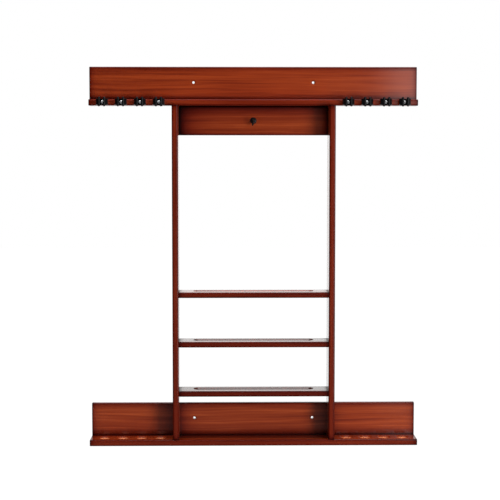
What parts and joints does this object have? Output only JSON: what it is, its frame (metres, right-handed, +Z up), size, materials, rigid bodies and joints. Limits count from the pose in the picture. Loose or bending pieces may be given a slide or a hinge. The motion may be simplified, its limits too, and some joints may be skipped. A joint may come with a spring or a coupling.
{
  "type": "wall cue rack",
  "caption": "Wall-mounted wooden rack for pool cues and balls: sprung clips on a top rail, grooved ball shelves, a hook, and a dished bottom ledge.",
  "frame": {"origin": "on the wall plane, midway between the two upper wall-screw holes, at the back face of the top back board", "axes": "+X to the right seen from the front, +Y into the wall, +Z up; the front of the rack faces -Y"},
  "size_m": [0.79, 0.076, 0.912],
  "materials": {
    "mahogany": "semi-gloss reddish mahogany stain",
    "clip_plastic": "black moulded plastic, satin",
    "screw_steel": "bright zinc-plated steel",
    "hook_metal": "black enamel"
  },
  "bodies": {
    "rack": {"top_back_board": "mahogany", "clip_rail": "mahogany", "left_upright": "mahogany", "right_upright": "mahogany", "hook_panel": "mahogany", "ball_shelf_upper": "mahogany", "ball_shelf_middle": "mahogany", "ball_shelf_lower": "mahogany", "bottom_back_board": "mahogany", "butt_ledge": "mahogany", "shelf_screw_upper_left": "screw_steel", "shelf_screw_middle_left": "screw_steel", "shelf_screw_lower_left": "screw_steel", "hook_panel_screw_left": "screw_steel", "rail_to_upright_screw_left": "screw_steel", "ledge_to_upright_screw_left": "screw_steel", "rail_back_screw_left": "screw_steel", "shelf_screw_upper_right": "screw_steel", "shelf_screw_middle_right": "screw_steel", "shelf_screw_lower_right": "screw_steel", "hook_panel_screw_right": "screw_steel", "rail_to_upright_screw_right": "screw_steel", "ledge_to_upright_screw_right": "screw_steel", "rail_back_screw_right": "screw_steel", "ledge_back_screw_left": "screw_steel", "ledge_back_screw_middle": "screw_steel", "ledge_back_screw_right": "screw_steel", "screw_hook": "hook_metal", "clip_1_base": "clip_plastic", "clip_1_screw": "screw_steel", "clip_2_base": "clip_plastic", "clip_2_screw": "screw_steel", "clip_3_base": "clip_plastic", "clip_3_screw": "screw_steel", "clip_4_base": "clip_plastic", "clip_4_screw": "screw_steel", "clip_5_base": "clip_plastic", "clip_5_screw": "screw_steel", "clip_6_base": "clip_plastic", "clip_6_screw": "screw_steel", "clip_7_base": "clip_plastic", "clip_7_screw": "screw_steel", "clip_8_base": "clip_plastic", "clip_8_screw": "screw_steel"},
    "clip_1_left_jaw": {"clip_1_left_jaw": "clip_plastic"},
    "clip_1_right_jaw": {"clip_1_right_jaw": "clip_plastic"},
    "clip_2_left_jaw": {"clip_2_left_jaw": "clip_plastic"},
    "clip_2_right_jaw": {"clip_2_right_jaw": "clip_plastic"},
    "clip_3_left_jaw": {"clip_3_left_jaw": "clip_plastic"},
    "clip_3_right_jaw": {"clip_3_right_jaw": "clip_plastic"},
    "clip_4_left_jaw": {"clip_4_left_jaw": "clip_plastic"},
    "clip_4_right_jaw": {"clip_4_right_jaw": "clip_plastic"},
    "clip_5_left_jaw": {"clip_5_left_jaw": "clip_plastic"},
    "clip_5_right_jaw": {"clip_5_right_jaw": "clip_plastic"},
    "clip_6_left_jaw": {"clip_6_left_jaw": "clip_plastic"},
    "clip_6_right_jaw": {"clip_6_right_jaw": "clip_plastic"},
    "clip_7_left_jaw": {"clip_7_left_jaw": "clip_plastic"},
    "clip_7_right_jaw": {"clip_7_right_jaw": "clip_plastic"},
    "clip_8_left_jaw": {"clip_8_left_jaw": "clip_plastic"},
    "clip_8_right_jaw": {"clip_8_right_jaw": "clip_plastic"}
  },
  "joints": [
    {"name": "clip_1_left_jaw_flex", "type": "hinge", "parent": "rack", "child": "clip_1_left_jaw", "pos_m": [-0.37202, -0.04586, -0.048], "axis": [0, 0, -1], "range_deg": [0, 25], "stiffness_Nm_per_rad": 0.15},
    {"name": "clip_1_right_jaw_flex", "type": "hinge", "parent": "rack", "child": "clip_1_right_jaw", "pos_m": [-0.35098, -0.04586, -0.048], "axis": [0, 0, 1], "range_deg": [0, 25], "stiffness_Nm_per_rad": 0.15},
    {"name": "clip_2_left_jaw_flex", "type": "hinge", "parent": "rack", "child": "clip_2_left_jaw", "pos_m": [-0.32702, -0.04586, -0.048], "axis": [0, 0, -1], "range_deg": [0, 25], "stiffness_Nm_per_rad": 0.15},
    {"name": "clip_2_right_jaw_flex", "type": "hinge", "parent": "rack", "child": "clip_2_right_jaw", "pos_m": [-0.30598, -0.04586, -0.048], "axis": [0, 0, 1], "range_deg": [0, 25], "stiffness_Nm_per_rad": 0.15},
    {"name": "clip_3_left_jaw_flex", "type": "hinge", "parent": "rack", "child": "clip_3_left_jaw", "pos_m": [-0.28202, -0.04586, -0.048], "axis": [0, 0, -1], "range_deg": [0, 25], "stiffness_Nm_per_rad": 0.15},
    {"name": "clip_3_right_jaw_flex", "type": "hinge", "parent": "rack", "child": "clip_3_right_jaw", "pos_m": [-0.26098, -0.04586, -0.048], "axis": [0, 0, 1], "range_deg": [0, 25], "stiffness_Nm_per_rad": 0.15},
    {"name": "clip_4_left_jaw_flex", "type": "hinge", "parent": "rack", "child": "clip_4_left_jaw", "pos_m": [-0.23702, -0.04586, -0.048], "axis": [0, 0, -1], "range_deg": [0, 25], "stiffness_Nm_per_rad": 0.15},
    {"name": "clip_4_right_jaw_flex", "type": "hinge", "parent": "rack", "child": "clip_4_right_jaw", "pos_m": [-0.21598, -0.04586, -0.048], "axis": [0, 0, 1], "range_deg": [0, 25], "stiffness_Nm_per_rad": 0.15},
    {"name": "clip_5_left_jaw_flex", "type": "hinge", "parent": "rack", "child": "clip_5_left_jaw", "pos_m": [0.21598, -0.04586, -0.048], "axis": [0, 0, -1], "range_deg": [0, 25], "stiffness_Nm_per_rad": 0.15},
    {"name": "clip_5_right_jaw_flex", "type": "hinge", "parent": "rack", "child": "clip_5_right_jaw", "pos_m": [0.23702, -0.04586, -0.048], "axis": [0, 0, 1], "range_deg": [0, 25], "stiffness_Nm_per_rad": 0.15},
    {"name": "clip_6_left_jaw_flex", "type": "hinge", "parent": "rack", "child": "clip_6_left_jaw", "pos_m": [0.26098, -0.04586, -0.048], "axis": [0, 0, -1], "range_deg": [0, 25], "stiffness_Nm_per_rad": 0.15},
    {"name": "clip_6_right_jaw_flex", "type": "hinge", "parent": "rack", "child": "clip_6_right_jaw", "pos_m": [0.28202, -0.04586, -0.048], "axis": [0, 0, 1], "range_deg": [0, 25], "stiffness_Nm_per_rad": 0.15},
    {"name": "clip_7_left_jaw_flex", "type": "hinge", "parent": "rack", "child": "clip_7_left_jaw", "pos_m": [0.30598, -0.04586, -0.048], "axis": [0, 0, -1], "range_deg": [0, 25], "stiffness_Nm_per_rad": 0.15},
    {"name": "clip_7_right_jaw_flex", "type": "hinge", "parent": "rack", "child": "clip_7_right_jaw", "pos_m": [0.32702, -0.04586, -0.048], "axis": [0, 0, 1], "range_deg": [0, 25], "stiffness_Nm_per_rad": 0.15},
    {"name": "clip_8_left_jaw_flex", "type": "hinge", "parent": "rack", "child": "clip_8_left_jaw", "pos_m": [0.35098, -0.04586, -0.048], "axis": [0, 0, -1], "range_deg": [0, 25], "stiffness_Nm_per_rad": 0.15},
    {"name": "clip_8_right_jaw_flex", "type": "hinge", "parent": "rack", "child": "clip_8_right_jaw", "pos_m": [0.37202, -0.04586, -0.048], "axis": [0, 0, 1], "range_deg": [0, 25], "stiffness_Nm_per_rad": 0.15}
  ]
}
